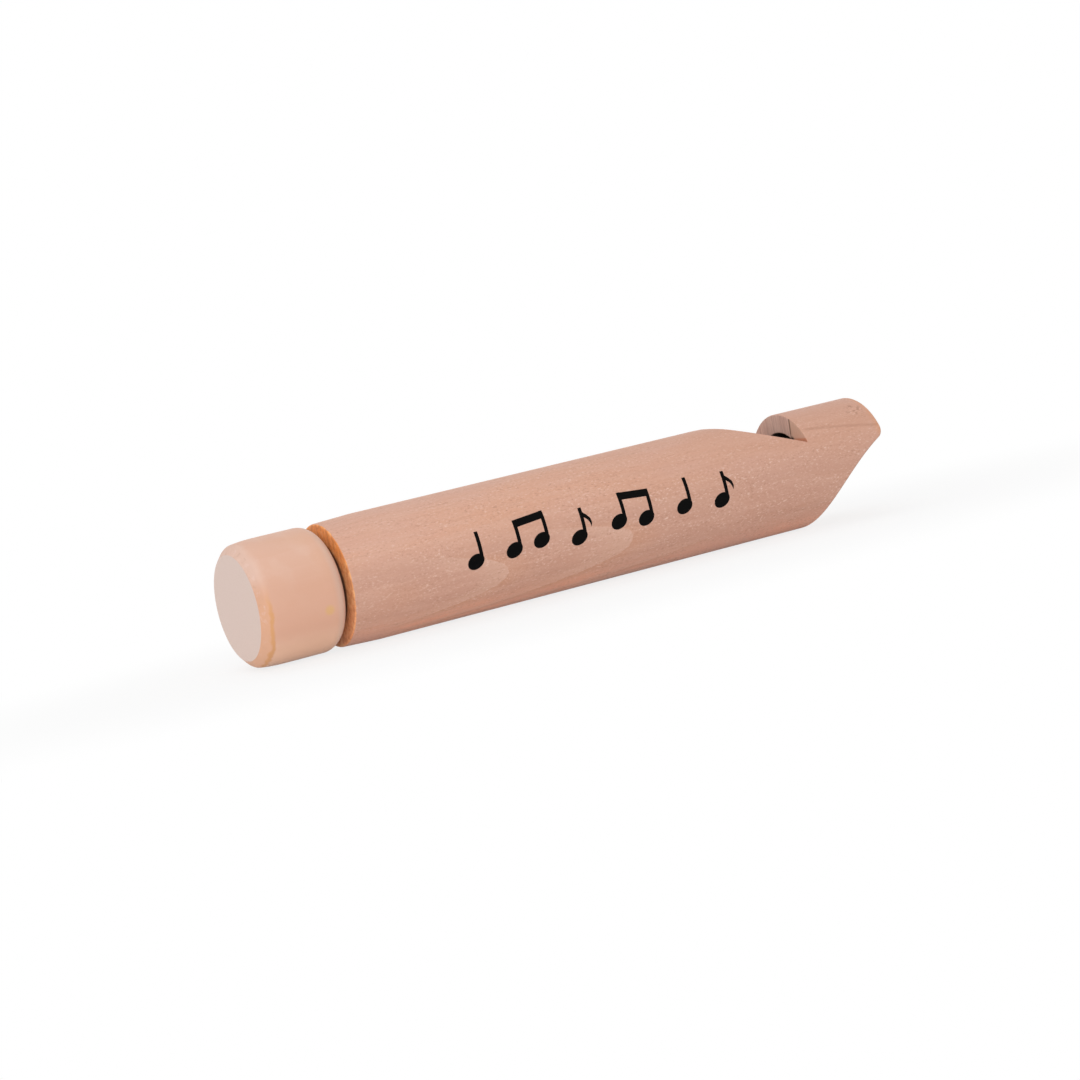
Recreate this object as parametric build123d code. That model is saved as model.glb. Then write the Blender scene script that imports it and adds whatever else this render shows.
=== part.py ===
from build123d import *
import os
from math import asin, atan2, cos, hypot, sin, sqrt

# Wooden slide whistle, lying on its side with the sounding window up.
# Millimetres. X runs along the bore towards the mouthpiece, Z is up, and the tube's lowest line is at Z = 0.
# X = 0 is the middle of the whole whistle with the plunger pushed home.

os.makedirs("parts", exist_ok=True)

# Tube
tube_len = 100.35
tube_d = 20.0
bore_d = 12.8
tube_edge_round = 0.35
tube_end_taper = 0.25    # how much the tube is eased at its knob end, each side
tube_end_taper_len = 6.5

# Mouthpiece
lip_len = 14.6          # from the window's wall to the blown end
lip_drop = 0.5         # how much lower the mouthpiece's top is sanded than the tube's
lip_lean = 0.15          # how much further back the blown end's top is than its lower edge
lip_thick = 6.4         # height of the blown end, between its top and the beak
beak_len = 14.0
beak_r = 28.0           # radius of the drum that hollows the beak
lip_tip_round = 1.9     # where the blown end meets the beak
lip_edge_round = 0.3    # round the blown end and along the beak

# Sounding window
ramp_len = 13.5
ramp_start_r = 12.0     # radius of the easing where the ramp leaves the tube's top
ramp_start_lift = 0.05  # height of that arc's crest above the tube's top
window_depth = 5.4
window_edge_round = 0.15
neck_end_gap = 1.0      # the tube has come down to the mouthpiece's size this far before the wall
windway_h = 1.3

# Knob
knob_len = 14.4
knob_step = 0.15        # how far the knob's barrel lies below the tube's side
knob_taper = 0.3        # how much the barrel narrows towards its front, each side
knob_taper_len = 4.0
knob_band_len = 1.1     # sloping band between the barrel and the flat front
knob_band_drop = 1.25
knob_face_round = 0.15
knob_band_round = 1.2
knob_rear_round = 2.6
knob_hole_depth = 9.0

# Plunger
rod_len = 70.0
rod_d = 7.0
rod_end_chamfer = 0.4
bush_len = 9.0
bush_proud = 0.55        # how far the bush stands out of the tube, where the knob stops

# Piston on the rod's inner end
disc_d = 11.4
disc_t = 2.0
felt_t = 6.0
felt_edge_round = 0.6
washer_d = 9.0
washer_t = 0.8
screw_d = 2.6
screw_grip = 11.0       # how far the screw goes into the rod
screw_point = 2.5
screw_head_d = 5.6
screw_head_h = 1.7
screw_head_round = 0.9
screw_slot_w = 0.8
screw_slot_depth = 0.7

# Clearances
glue_gap = 0.03
rod_play = 0.08
felt_play = 0.06
stop_gap = 0.2

# Places along the bore
tube_r = tube_d / 2
bore_r = bore_d / 2
knob_r = tube_r - knob_step
rod_r = rod_d / 2
screw_r = screw_d / 2
axis_z = tube_r
knob_standoff = bush_proud + stop_gap
overall_len = knob_len + knob_standoff + tube_len
mouth_x = overall_len / 2
tube_x = mouth_x - tube_len
knob_rear_x = tube_x - knob_standoff
knob_front_x = knob_rear_x - knob_len
knob_band_x = knob_front_x + knob_band_len
knob_barrel_x = knob_band_x + knob_taper_len
tube_full_x = tube_x + tube_end_taper_len
wall_x = mouth_x - lip_len
ramp_x = wall_x - ramp_len
ramp_slope = atan2(window_depth, ramp_len)
ease_height = tube_r + ramp_start_lift - ramp_start_r
ease_x = ramp_x - (ramp_start_r - (tube_r - ease_height) * cos(ramp_slope)) / sin(ramp_slope)
neck_end_x = wall_x - neck_end_gap
bush_out_x = tube_x - bush_proud
bush_in_x = bush_out_x + bush_len
rod_x = knob_rear_x - knob_hole_depth + glue_gap
disc_x = rod_x + rod_len
felt_x = disc_x + disc_t + felt_play
washer_x = felt_x + felt_t + felt_play
head_x = washer_x + washer_t
screw_tip_x = disc_x - screw_grip

# Cutters reach this far past what they cut
overcut = 1.0


def round_bar(radius, x_from, x_to, z=axis_z):
    """A solid cylinder along X."""
    bar = Cylinder(radius, x_to - x_from, align=(Align.CENTER, Align.CENTER, Align.MIN))
    return Pos(x_from, 0, z) * Rot(0, 90, 0) * bar


def cone_bar(radius_from, radius_to, x_from, x_to):
    """A solid cone or taper along X, about the bore's axis."""
    bar = Cone(radius_from, radius_to, x_to - x_from, align=(Align.CENTER, Align.CENTER, Align.MIN))
    return Pos(x_from, 0, axis_z) * Rot(0, 90, 0) * bar


def ring(outer_r, inner_r, x_from, x_to):
    """A cylinder along X with a hole through it."""
    return round_bar(outer_r, x_from, x_to) - round_bar(inner_r, x_from - overcut, x_to + overcut)


def rim(bar, end):
    """The outer circle at the low-X (0) or high-X (-1) end of a turned bar."""
    circles = bar.edges().filter_by(GeomType.CIRCLE)
    return circles.group_by(Axis.X)[end].sort_by(SortBy.RADIUS)[-1]


def side_view(outline):
    """Points in the plane of symmetry, from X and height above the bore's axis."""
    return [(x, 0, axis_z + height) for x, height in outline]


def across(*lines, rounded=None):
    """A prism right across the tube, from the closed run of lines round its side view."""
    edges = [edge for line in lines for edge in line.edges()]
    face = make_face(edges)
    if rounded:
        corner, radius = rounded
        face = fillet(face.vertices().sort_by_distance(side_view([corner])[0])[0], radius)
    return extrude(face, amount=tube_r + overcut, dir=(0, 1, 0), both=True)


def block_across(outline):
    """A prism right across the tube with straight sides."""
    return across(Polyline(side_view(outline), close=True))


def cross_circle(x, radius, z):
    """A round section across the bore's axis."""
    return Plane(origin=(x, 0, z), x_dir=(0, 1, 0), z_dir=(1, 0, 0)) * Circle(radius)


def mouth_cut():
    """All that lies beyond the blown end and under the hollow beak, with a round where the two meet."""
    start_x, start_height = mouth_x - beak_len, -tube_r
    tip_height = tube_r - lip_drop - lip_thick
    run, rise = beak_len, tip_height - start_height
    chord = hypot(run, rise)
    reach = sqrt(beak_r**2 - (chord / 2) ** 2)
    drum_x = start_x + run / 2 + reach * rise / chord
    drum_height = start_height + rise / 2 - reach * run / chord
    tip_turn = atan2(tip_height - drum_height, mouth_x - drum_x)
    start_turn = atan2(start_height - drum_height, start_x - drum_x)
    low_turn = start_turn + 2 * overcut / beak_r

    def on_drum(turn):
        return (drum_x + beak_r * cos(turn), drum_height + beak_r * sin(turn))

    high, low = tube_r + overcut, -tube_r - 2 * overcut
    high_x = mouth_x - lip_lean * (high - tip_height) / lip_thick
    far_x = mouth_x + tube_d
    hollow = ThreePointArc(
        side_view([(mouth_x, tip_height), on_drum((tip_turn + low_turn) / 2), on_drum(low_turn)])
    )
    low_x = on_drum(low_turn)[0]
    rest = [on_drum(low_turn), (low_x, low), (far_x, low), (far_x, high), (high_x, high), (mouth_x, tip_height)]
    return across(hollow, Polyline(side_view(rest)), rounded=((mouth_x, tip_height), lip_tip_round))


def whistle_blank():
    """The outside of the tube and mouthpiece, solid, with the beak cut and its edges eased."""
    lip_r = tube_r - lip_drop / 2
    lip_z = axis_z - lip_drop / 2
    grip = cone_bar(tube_r - tube_end_taper, tube_r, tube_x, tube_full_x)
    grip += round_bar(tube_r, tube_full_x, ease_x)
    grip = fillet(rim(grip, 0), tube_edge_round)
    neck = loft([cross_circle(ease_x, tube_r, axis_z), cross_circle(neck_end_x, lip_r, lip_z)], ruled=True)
    lip = round_bar(lip_r, neck_end_x, mouth_x + overcut, lip_z) - mouth_cut()
    curves = lip.edges().filter_by(GeomType.LINE, reverse=True)
    lip = fillet([edge for edge in curves if edge.center().X > wall_x], lip_edge_round)
    return grip + neck + lip


def window_cut():
    """The sawn notch: a ramp eased into the tube's top by a wide arc, down to the upright wall."""

    def on_arc(turn):
        return (ease_x + ramp_start_r * sin(turn), ease_height + ramp_start_r * cos(turn))

    easing = ThreePointArc(side_view([on_arc(0), on_arc(ramp_slope / 2), on_arc(ramp_slope)]))
    rest = [
        on_arc(ramp_slope),
        (wall_x, tube_r - window_depth),
        (wall_x, tube_r + ramp_start_lift + overcut),
        (ease_x, tube_r + ramp_start_lift + overcut),
        on_arc(0),
    ]
    return across(easing, Polyline(side_view(rest)))


def body_tube(blank):
    """The blank bored through, with the window's ramp sawn down to its upright wall."""
    bore = round_bar(bore_r, tube_x - overcut, mouth_x + overcut)
    tube = blank - bore - window_cut()
    return fillet(window_rim(tube), window_edge_round)


def window_rim(tube):
    """The curved edges where the ramp and the wall come out through the tube's side."""
    flats = tube.faces().filter_by(GeomType.PLANE)
    sawn = [face for face in flats if ramp_x < face.center().X < wall_x + overcut]
    curved = [edge for face in sawn for edge in face.edges() if edge.geom_type != GeomType.LINE]
    mid_wall_r = (bore_r + tube_r) / 2
    middles = [edge @ 0.5 for edge in curved]
    return [edge for edge, p in zip(curved, middles) if hypot(p.Y, p.Z - axis_z) > mid_wall_r]


def fipple_plug(blank):
    """The block in the mouthpiece: flat on top for the windway, and cut by the same beak."""
    plug = round_bar(bore_r - glue_gap, wall_x, mouth_x) & blank
    floor_h = bore_r - windway_h
    windway = block_across(
        [
            (wall_x - overcut, floor_h),
            (mouth_x + overcut, floor_h),
            (mouth_x + overcut, tube_r),
            (wall_x - overcut, tube_r),
        ]
    )
    return plug - windway


def guide_bush():
    """The ring in the knob end of the tube that the rod runs through."""
    return ring(bore_r - glue_gap, rod_r + rod_play, bush_out_x, bush_in_x)


def knob():
    """The turned pull knob, rounded at both ends, with a blind hole for the rod."""
    band_r = knob_r - knob_taper
    crown_r = (knob_taper_len**2 + knob_taper**2) / (2 * knob_taper)
    half_turn = asin(knob_taper_len / crown_r) / 2
    crown_middle = (knob_barrel_x - crown_r * sin(half_turn), knob_r - crown_r * (1 - cos(half_turn)))
    front = [
        (knob_front_x, 0),
        (knob_front_x, band_r - knob_band_drop),
        (knob_band_x, band_r),
    ]
    rear = [(knob_barrel_x, knob_r), (knob_rear_x, knob_r), (knob_rear_x, 0), (knob_front_x, 0)]
    crown = ThreePointArc(side_view([front[-1], crown_middle, rear[0]]))
    sides = [Polyline(side_view(front)), crown, Polyline(side_view(rear))]
    profile = make_face([edge for side in sides for edge in side.edges()])
    turned = revolve(profile, Axis((0, 0, axis_z), (1, 0, 0)))
    for x, radius in (
        (knob_front_x, knob_face_round),
        (knob_band_x, knob_band_round),
        (knob_rear_x, knob_rear_round),
    ):
        circles = [edge for edge in turned.edges().filter_by(GeomType.CIRCLE) if edge.is_closed]
        turned = fillet(min(circles, key=lambda circle: abs(circle.arc_center.X - x)), radius)
    return turned - round_bar(rod_r + glue_gap, knob_rear_x - knob_hole_depth, knob_rear_x + overcut)


def plunger_rod():
    """The dowel from the knob to the piston, with a pilot hole for the screw."""
    dowel = round_bar(rod_r, rod_x, disc_x)
    dowel = chamfer(rim(dowel, 0), rod_end_chamfer)
    return dowel - round_bar(screw_r + glue_gap, screw_tip_x, disc_x + overcut)


def backing_disc():
    """The disc behind the felt, against the end of the rod."""
    return ring(disc_d / 2, screw_r + glue_gap, disc_x, disc_x + disc_t)


def piston_felt():
    """The felt that closes the bore, free to turn on the screw."""
    felt = round_bar(bore_r - felt_play, felt_x, felt_x + felt_t)
    felt = fillet([rim(felt, 0), rim(felt, -1)], felt_edge_round)
    return felt - round_bar(screw_r + felt_play, felt_x - overcut, felt_x + felt_t + overcut)


def front_washer():
    """The washer between the felt and the screw's head."""
    return ring(washer_d / 2, screw_r + glue_gap, washer_x, washer_x + washer_t)


def piston_screw():
    """The slotted screw through washer, felt and disc into the rod."""
    head = round_bar(screw_head_d / 2, head_x, head_x + screw_head_h)
    head = fillet(rim(head, -1), screw_head_round)
    slot_x = head_x + screw_head_h - screw_slot_depth
    slot = Box(
        screw_slot_depth + overcut,
        screw_head_d + 2 * overcut,
        screw_slot_w,
        align=(Align.MIN, Align.CENTER, Align.CENTER),
    )
    head -= Pos(slot_x, 0, axis_z) * slot
    shank = round_bar(screw_r, screw_tip_x + screw_point, head_x)
    point = cone_bar(0, screw_r, screw_tip_x, screw_tip_x + screw_point)
    return head + shank + point


blank = whistle_blank()
pieces = {
    "body_tube": body_tube(blank),
    "fipple_plug": fipple_plug(blank),
    "guide_bush": guide_bush(),
    "knob": knob(),
    "plunger_rod": plunger_rod(),
    "backing_disc": backing_disc(),
    "piston_felt": piston_felt(),
    "front_washer": front_washer(),
    "piston_screw": piston_screw(),
}
for name, piece in pieces.items():
    export_step(piece, f"parts/{name}.step")

ramp_meets_bore_x = ramp_x + (tube_r - bore_r) * ramp_len / window_depth
print(f"overall length {overall_len:.2f}")
print(f"window: ramp from {ramp_x:.2f} to its lip at {ramp_meets_bore_x:.2f}, wall at {wall_x:.2f}")
print(f"screw head to window lip, pushed home {ramp_meets_bore_x - head_x - screw_head_h:.2f}")
print(f"stroke until the disc meets the bush {disc_x - bush_in_x:.2f}")
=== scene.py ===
# %% [markdown]
# # A wooden slide whistle
#
# This lesson dresses a small turned whistle: a tube with a window and a beak at one end, and a plunger
# with a round knob at the other. The solids come finished from the drawing, so the work here is camera,
# wood, print and light. X runs along the bore towards the mouthpiece, and Z is up through the window.

# %% Load the drawing
import bmesh
import bpy
from math import cos, pi, radians, sin
from mathutils import Matrix, Vector
from mathutils.geometry import delaunay_2d_cdt


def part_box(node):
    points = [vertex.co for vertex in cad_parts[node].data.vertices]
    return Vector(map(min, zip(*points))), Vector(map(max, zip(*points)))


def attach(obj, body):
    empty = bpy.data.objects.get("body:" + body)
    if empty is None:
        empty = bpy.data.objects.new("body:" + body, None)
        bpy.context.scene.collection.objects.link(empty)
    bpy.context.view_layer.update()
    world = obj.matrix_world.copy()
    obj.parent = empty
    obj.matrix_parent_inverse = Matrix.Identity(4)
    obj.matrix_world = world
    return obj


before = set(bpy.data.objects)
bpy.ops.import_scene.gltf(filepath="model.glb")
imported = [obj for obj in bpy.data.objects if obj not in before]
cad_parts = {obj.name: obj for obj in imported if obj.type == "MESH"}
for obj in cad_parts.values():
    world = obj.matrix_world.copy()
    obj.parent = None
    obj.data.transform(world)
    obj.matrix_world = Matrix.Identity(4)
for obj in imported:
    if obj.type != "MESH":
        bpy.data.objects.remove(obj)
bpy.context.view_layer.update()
scene = bpy.context.scene
print(len(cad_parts), "pieces in the drawing")

# %% [markdown]
# ## Landmarks
#
# Marks on the wood are placed by where they lie on the real whistle, such as so far from the window's wall
# or from the knob's front. Those places could be typed in, but read from the drawing they stay true if it
# changes. The block in the mouthpiece fills the bore, so its box gives the bore, the wall and the windway's
# floor. Blender works in metres. A maker thinks in millimetres, so the landmarks are kept in those.

# %% Landmarks
mm = 0.001
tube_low, tube_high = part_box("body_tube")
plug_low, plug_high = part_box("fipple_plug")
knob_low, knob_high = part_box("knob")

tube_r = (tube_high.z - tube_low.z) / 2 / mm
axis_z = tube_low.z / mm + tube_r
bore_r = (plug_high.y - plug_low.y) / 2 / mm
knob_front = knob_low.x / mm
knob_rear = knob_high.x / mm
knob_end = tube_low.x / mm
mouth_end = tube_high.x / mm
wall_x = plug_low.x / mm
floor_z = plug_high.z / mm
print(f"tube {mouth_end - knob_end:.1f} mm long and {2 * tube_r:.1f} mm across")
print(f"bore {2 * bore_r:.2f} mm across, window wall at {wall_x:.2f}, windway floor at {floor_z:.2f}")

# %% [markdown]
# ## Where the camera stands
#
# The photograph looks at the knob end from the front left, a little from above, and leans so that the
# whistle climbs to the right. A camera can be turned by hand until it looks right, but a bearing, a height
# and a lean are easier to adjust one at a time. The picture's own directions follow from them.

# %% View directions
view_bearing = radians(-27.51)
view_height = radians(6.0)
view_lean = radians(11.10)

flat_part = cos(view_height)
back = Vector((sin(view_bearing) * flat_part, -cos(view_bearing) * flat_part, sin(view_height)))
level = Vector((cos(view_bearing), sin(view_bearing), 0))
upright = back.cross(level)
right = level * cos(view_lean) - upright * sin(view_lean)
up = level * sin(view_lean) + upright * cos(view_lean)
print("the camera looks from", [round(part, 3) for part in back])

# %% [markdown]
# ## The lens
#
# A long lens from half a metre away keeps the far mouthpiece nearly as large as the near knob, as in the
# photograph. A short lens close by would fill the frame just as well, but would make the knob look swollen.
# The camera is turned by a matrix whose columns are the three directions.

# %% Camera
view_distance = 0.4717
view_aim = Vector((-0.00460, 0.00025, 0.00875))
lens_length = 98.34
film_width = 36
nearest_seen = 0.01

camera_data = bpy.data.cameras.new("camera")
camera_data.lens = lens_length
camera_data.sensor_width = film_width
camera_data.clip_start = nearest_seen
camera = bpy.data.objects.new("camera", camera_data)
scene.collection.objects.link(camera)
turn = Matrix((right, up, back)).transposed().to_4x4()
camera.matrix_world = Matrix.Translation(view_aim + back * view_distance) @ turn
scene.camera = camera
print("camera at", [round(place, 3) for place in camera.matrix_world.translation])

# %% [markdown]
# ## Wiring
#
# Every finish in Blender is a tree of small nodes joined by links. A tree can be wired by hand in the
# editor, but a script can be read and changed line by line. This class adds a node and links or sets its
# inputs. The next three classes build on it, so that a finish later reads like a list of coats.

# %% Wiring
class Wiring:
    """Adds nodes to a tree and joins them."""

    def __init__(self, tree):
        self.tree = tree

    def node(self, kind, settings=(), **inputs):
        """A new node, with its settings and its inputs by name."""
        made = self.tree.nodes.new("ShaderNode" + kind)
        for name, value in dict(settings).items():
            setattr(made, name, value)
        for name, value in inputs.items():
            self.feed(made.inputs[name], value)
        return made

    def feed(self, socket, value):
        """Links another node's output to the socket, or sets the socket's own value."""
        if isinstance(value, bpy.types.NodeSocket):
            self.tree.links.new(value, socket)
        elif socket.type == "RGBA":
            socket.default_value = (*value, 1)
        else:
            socket.default_value = value


def tell_tools(kit):
    """Prints what a class adds to the tool kit."""
    print(kit.__name__, "adds", ", ".join(name for name in vars(kit) if not name.startswith("_")))


tell_tools(Wiring)

# %% [markdown]
# ## Steps
#
# Colours and shares are worked out point by point, with one node for each step of arithmetic. The step used
# most is an easing: a share that goes smoothly from one value to another while a place or a pattern goes
# from low to high. A colour ramp does the same, but its stops can't be worked out by other nodes.

# %% Steps
class Steps(Wiring):
    """Arithmetic on numbers, places and colours."""

    def math(self, operation, *values):
        """One step of arithmetic on numbers."""
        made = self.node("Math", {"operation": operation})
        for socket, value in zip(made.inputs, values):
            self.feed(socket, value)
        return made.outputs[0]

    def stretch(self, place, factors):
        """A place stretched along X, Y and Z."""
        made = self.node("VectorMath", {"operation": "MULTIPLY"})
        self.feed(made.inputs[0], place)
        self.feed(made.inputs[1], factors)
        return made.outputs[0]

    def distance(self, place, other):
        """How far one place lies from another."""
        made = self.node("VectorMath", {"operation": "DISTANCE"})
        self.feed(made.inputs[0], place)
        self.feed(made.inputs[1], other)
        return made.outputs["Value"]

    def rise(self, value, low, high, least=0.0, most=1.0):
        """Eases from least to most while the value goes from low to high."""
        made = self.node("MapRange", {"interpolation_type": "SMOOTHSTEP"})
        for socket, number in zip(made.inputs, (value, low, high, least, most)):
            self.feed(socket, number)
        return made.outputs[0]

    def every(self, *shares):
        """The shares multiplied together: where all of them hold."""
        total = shares[0]
        for share in shares[1:]:
            total = self.math("MULTIPLY", total, share)
        return total

    def coats(self, colour, *layers):
        """A ground colour with other colours laid over it, each as strongly as its share says."""
        for share, layer in layers:
            made = self.node("Mix", {"data_type": "RGBA"})
            sockets = {socket.identifier: socket for socket in made.inputs}
            self.feed(sockets["Factor_Float"], share)
            self.feed(sockets["A_Color"], colour)
            self.feed(sockets["B_Color"], layer)
            colour = {socket.identifier: socket for socket in made.outputs}["Result_Color"]
        return colour


tell_tools(Steps)

# %% [markdown]
# ## Patterns
#
# A picture wrapped round the tube would stretch at the cuts. The finishes use solid patterns instead, which
# fill space: the grain runs through the wood and meets every cut face the right way, as in a real board.
# Here places are millimetres in the drawing, and a scale says how many blotches fit in a millimetre.

# %% Patterns
class Patterns(Steps):
    """Knows where each point of the wood lies and which way its surface faces."""

    def __init__(self, tree):
        super().__init__(tree)
        place = self.node("TexCoord")
        self.at = self.stretch(place.outputs["Object"], (1 / mm, 1 / mm, 1 / mm))
        self.x, self.y, self.z = self.node("SeparateXYZ", Vector=self.at).outputs
        facing = self.node("SeparateXYZ", Vector=place.outputs["Normal"]).outputs
        self.faces_x = facing["X"]
        self.faces_z = facing["Z"]

    def noise(self, scale, detail=2.0, roughness=0.5):
        """Soft blotches from 0 to 1, with their own scale along X, Y and Z."""
        at = self.stretch(self.at, scale)
        made = self.node("TexNoise", Vector=at, Scale=1.0, Detail=detail, Roughness=roughness)
        return made.outputs[0]

    def radius(self, centre_y=0.0, centre_z=axis_z):
        """Distance from a line along X."""
        off_y = self.math("SUBTRACT", self.y, centre_y)
        off_z = self.math("SUBTRACT", self.z, centre_z)
        squared = self.math("MULTIPLY_ADD", off_y, off_y, self.math("MULTIPLY", off_z, off_z))
        return self.math("SQRT", squared)

    def near(self, place, reach, core=0.3):
        """1 in the core of a spot round a place in the drawing, falling to 0 at its reach."""
        return self.rise(self.distance(self.at, place), reach, reach * core)


tell_tools(Patterns)

# %% [markdown]
# ## Finishes
#
# A finish is one material. It starts from a ground colour, takes one tint after another, gets a shallow
# relief, and is then put on pieces of the drawing. Values that are the same all over, such as the sheen,
# are set straight on the shader, where any other program that opens the model will find them.

# %% Finishes
class Finish(Patterns):
    """A material that is built up in coats."""

    def __init__(self, name, roughness, ground):
        self.material = bpy.data.materials.new(name)
        self.material.use_nodes = True
        super().__init__(self.material.node_tree)
        self.shader = self.tree.nodes["Principled BSDF"]
        self.colour = ground
        self.uniform({"Roughness": roughness})

    def tint(self, share, colour):
        """Lays a colour over what is there."""
        self.colour = self.coats(self.colour, (share, colour))

    def uniform(self, values):
        """Sets what is the same all over the surface."""
        for name, value in values.items():
            self.shader.inputs[name].default_value = value

    def complete(self, height, depth):
        """Puts the colour on the shader, and a relief that is so many millimetres deep."""
        self.feed(self.shader.inputs["Base Color"], self.colour)
        relief = self.node("Bump", Height=height, Distance=depth * mm, Strength=1.0)
        self.feed(self.shader.inputs["Normal"], relief.outputs["Normal"])

    def dress(self, *names):
        """Gives the material to pieces of the drawing."""
        for name in names:
            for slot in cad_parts[name].material_slots:
                slot.material = self.material
        print(self.material.name, "on", ", ".join(names), "with", len(self.tree.nodes), "nodes")


tell_tools(Finish)

# %% [markdown]
# ## Growth rings
#
# A tree adds a ring each year: soft pale wood first, then a thin hard line. Stripes painted on the side
# would break at the cuts. These are real rings round a pith line that lies outside the stick and leans
# against it, so where the turned side runs along a ring they open into long tongues.

# %% Growth rings
ring_drift = (0.025, 0.09, 0.09)


def growth_rings(finish, pith, lean, width, start, wander=0.8):
    """How far a point is through its year's growth, from 0 at the soft wood to 1 at the hard line."""
    drift = finish.noise(ring_drift)
    reach = finish.math("MULTIPLY_ADD", finish.x, lean, finish.radius(*pith))
    reach = finish.math("MULTIPLY_ADD", drift, wander, reach)
    years = finish.math("DIVIDE", finish.math("SUBTRACT", reach, start), width)
    return finish.math("FRACT", years)


print("rings wander over about", round(1 / ring_drift[0]), "mm along the stick")

# %% [markdown]
# ## Fibres and flecks
#
# Wood also has long fibres along the stick, and short flecks where its rays come to the surface. Both are
# noise that is stretched along X, each with its own scale. Sanding leaves them a few hundredths of
# a millimetre high, so the same patterns give the height of the surface.

# %% Fibres and flecks
def fibres(finish):
    """Long fine lines along the stick."""
    return finish.noise((0.06, 2.2, 2.2), detail=3.0, roughness=0.6)


def streaks(finish):
    """Broader and shorter streaks, as light and dark growth comes to the surface."""
    return finish.noise((0.10, 0.9, 0.9))


def flecks(finish):
    """Short marks along the stick, a few tenths of a millimetre wide."""
    return finish.noise((2.0, 4.0, 4.0), roughness=0.6)


def sanded_height(finish, fleck, fibre, fleck_part):
    """The height of the surface, in part from flecks and for the rest from fibres."""
    from_fibre = finish.math("MULTIPLY", fibre, 1 - fleck_part)
    return finish.math("MULTIPLY_ADD", fleck, fleck_part, from_fibre)


print("grain of", ", ".join(pattern.__name__ for pattern in (fibres, streaks, flecks)))

# %% [markdown]
# ## The tube's ground colour
#
# The tube is turned from a pale, fine, pinkish hardwood that was sanded and left bare. One colour all over
# would look like plastic, so the ground is laid in broad steps, in colours read off the photograph at plain
# light: it fades from the knob to the mouth and is pinker in patches. Its sides get a greyer, darker painted
# shade, and its underside a warmer, brighter painted light from below.

# %% Tube ground
near_knob = (0.695, 0.380, 0.262)
near_mouth = (0.622, 0.340, 0.243)
tube_lit_below = (0.840, 0.430, 0.290)
pink_patch = (0.655, 0.385, 0.305)
tube_side_shade = (0.560, 0.312, 0.232)
tube_shade_most = 0.80

tube_wood = Finish("tube_wood", roughness=0.60, ground=near_knob)
tube_wood.tint(tube_wood.rise(tube_wood.x, -45.0, 55.0), near_mouth)
# painted light from below: the underside is warmer and brighter
tube_wood.tint(tube_wood.rise(tube_wood.z, 4.6, 1.4), tube_lit_below)
tube_patch = tube_wood.noise((0.05, 0.16, 0.16))
tube_wood.tint(tube_wood.rise(tube_patch, 0.40, 0.68, most=0.5), pink_patch)
# painted shade: a greyer, darker band along the sides
below_top = tube_wood.rise(tube_wood.z, 15.0, 9.5)
above_foot = tube_wood.rise(tube_wood.z, 1.0, 4.5)
tube_wood.tint(tube_wood.every(below_top, above_foot, tube_shade_most), tube_side_shade)
print("tube has", len(tube_wood.tree.nodes), "nodes with its ground")

# %% [markdown]
# ## The tube's tongues of grain
#
# The photograph shows long pale tongues on the lower side of the tube, away from both ends. They are rings
# that the turned side meets at a slant. One number says how far a point is through its ring, so the pale
# start and the hard end of each ring are two tints by that number, and the edge between them is crisp.

# %% Tube rings
ring_width = 1.515
soft_wood = (0.715, 0.460, 0.350)
hard_wood = (0.600, 0.310, 0.200)

tube_year = growth_rings(tube_wood, pith=(37.6, 23.7), lean=-0.07, width=ring_width, start=49.98)
flat_sawn = tube_wood.every(
    tube_wood.rise(tube_wood.faces_z, 0.25, -0.20, least=0.10),
    tube_wood.rise(tube_wood.x, 24.0, 10.0, least=0.15),
    tube_wood.rise(tube_wood.x, -40.0, -28.0, least=0.15),
)
ring_start = tube_wood.every(flat_sawn, tube_wood.rise(tube_year, 0.45, 0.0, most=0.50))
ring_end = tube_wood.every(flat_sawn, tube_wood.rise(tube_year, 0.65, 1.0, most=0.62))
tube_wood.tint(ring_start, soft_wood)
tube_wood.tint(ring_end, hard_wood)
print("rings", ring_width, "mm wide")

# %% [markdown]
# ## The tube's fibres
#
# Fibres show as fine darker lines and broader pale streaks. They could be modelled as grooves, but they are
# far too fine to change the outline, so a tint is enough. The streaks are weaker towards the mouthpiece,
# where the wood in the photograph is more even.

# %% Tube fibres
pale_streak = (0.700, 0.425, 0.325)
dark_fibre = (0.565, 0.305, 0.210)

tube_fibre = fibres(tube_wood)
streak_share = tube_wood.every(
    tube_wood.rise(streaks(tube_wood), 0.42, 0.66, most=0.34),
    tube_wood.rise(tube_wood.x, 35.0, -10.0, least=0.5),
)
tube_wood.tint(streak_share, pale_streak)
tube_wood.tint(tube_wood.rise(tube_fibre, 0.48, 0.76, most=0.40), dark_fibre)
print("tube has", len(tube_wood.tree.nodes), "nodes with its fibres")

# %% [markdown]
# ## The tube's flecks
#
# Up close the wood has a salt and pepper of pale and dark flecks. Spread evenly they would look like printed
# dots, so a slow cloud makes them thicker here and thinner there. They grow stronger towards the mouth, and
# are calmer on top of that half. A last fine grit stands for sanding dust in the pores.

# %% Tube flecks
pale_fleck = (0.810, 0.590, 0.490)
dark_fleck = (0.440, 0.225, 0.150)
dusty_pore = (0.540, 0.310, 0.230)

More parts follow.
